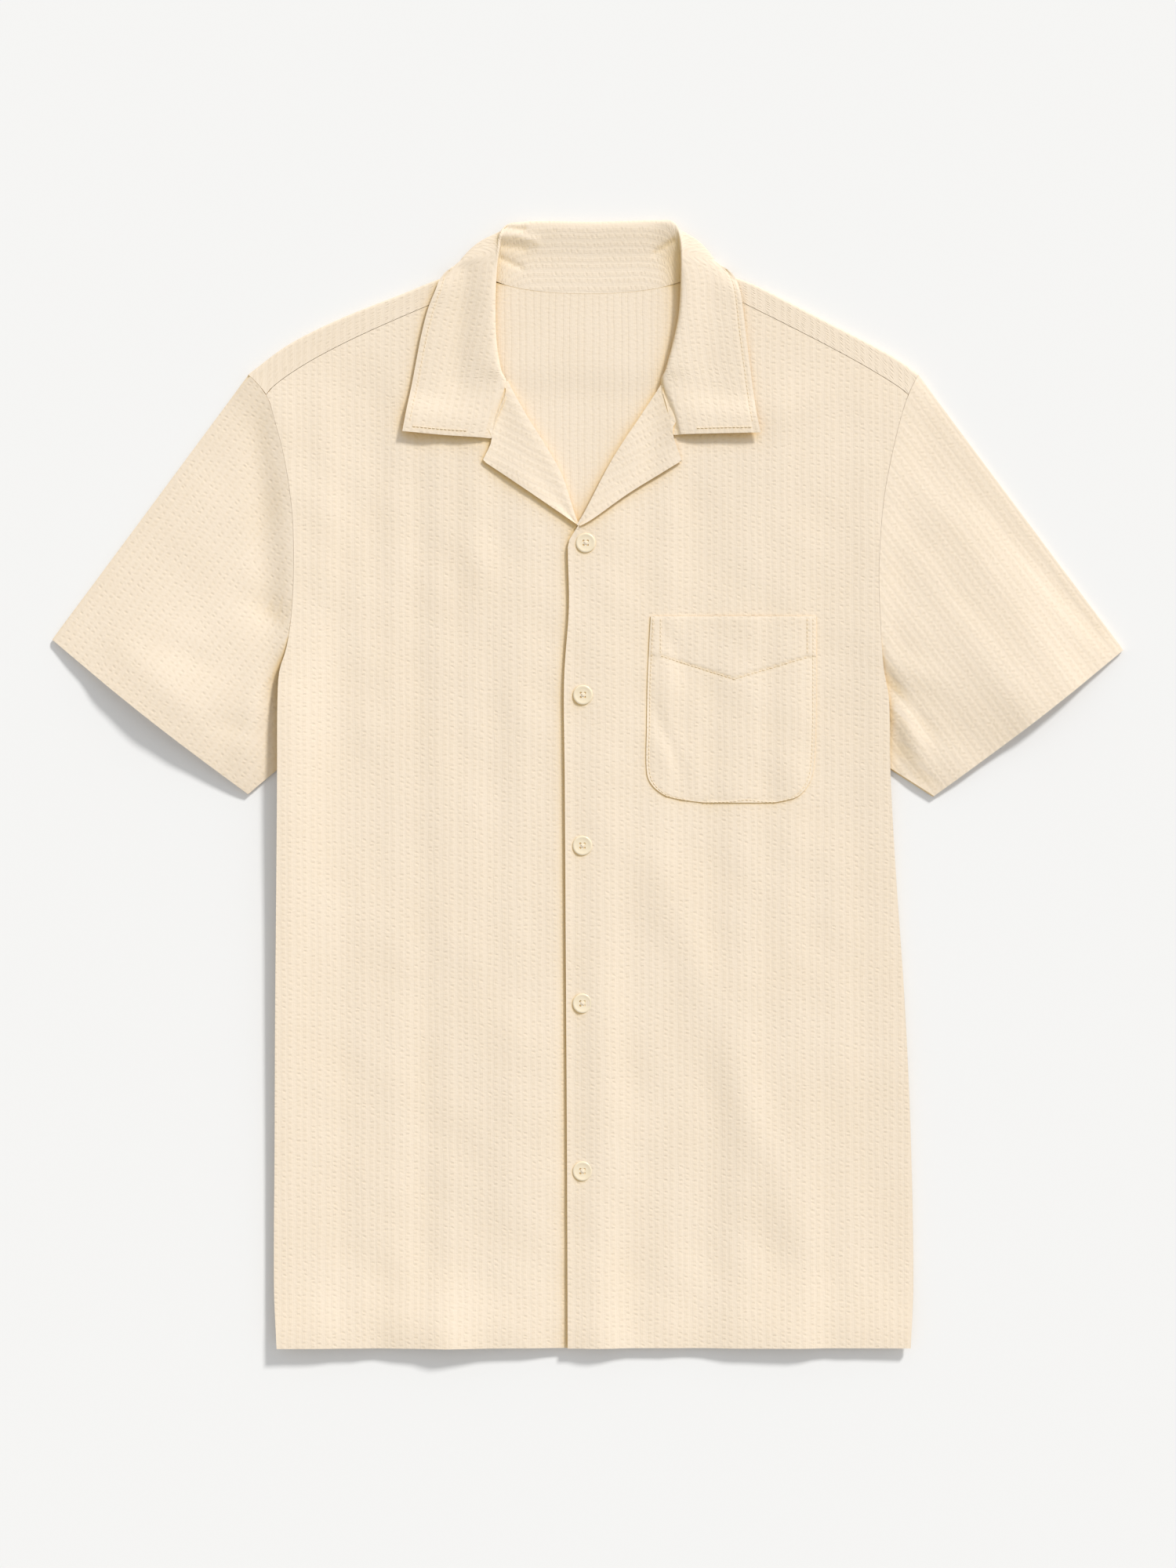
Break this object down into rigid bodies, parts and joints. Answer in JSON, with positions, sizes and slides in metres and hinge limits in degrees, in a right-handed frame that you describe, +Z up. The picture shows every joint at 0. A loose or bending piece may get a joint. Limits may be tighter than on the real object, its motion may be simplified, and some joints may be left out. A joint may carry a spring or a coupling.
{
  "type": "camp shirt",
  "caption": "Short-sleeved camp shirt with a notched open collar, chest pocket and buttoned front, laid flat on its back panel.",
  "frame": {"origin": "centre of the laid shirt's outline, on the surface it lies on", "axes": "+X towards the wearer's left sleeve, +Y from hem to collar, +Z up from the surface"},
  "size_m": [0.7387, 0.7769, 0.0101],
  "materials": {
    "shirt_cloth": "matte puckered cotton with narrow self stripes",
    "button": "semi-gloss ivory"
  },
  "bodies": {
    "root": {"back": "shirt_cloth", "front_right": "shirt_cloth", "front_left": "shirt_cloth", "facing_right": "shirt_cloth", "facing_left": "shirt_cloth", "collar": "shirt_cloth", "sleeve_right": "shirt_cloth", "sleeve_left": "shirt_cloth", "pocket": "shirt_cloth", "button_1": "button", "button_2": "button", "button_3": "button", "button_4": "button", "button_5": "button"}
  },
  "joints": []
}
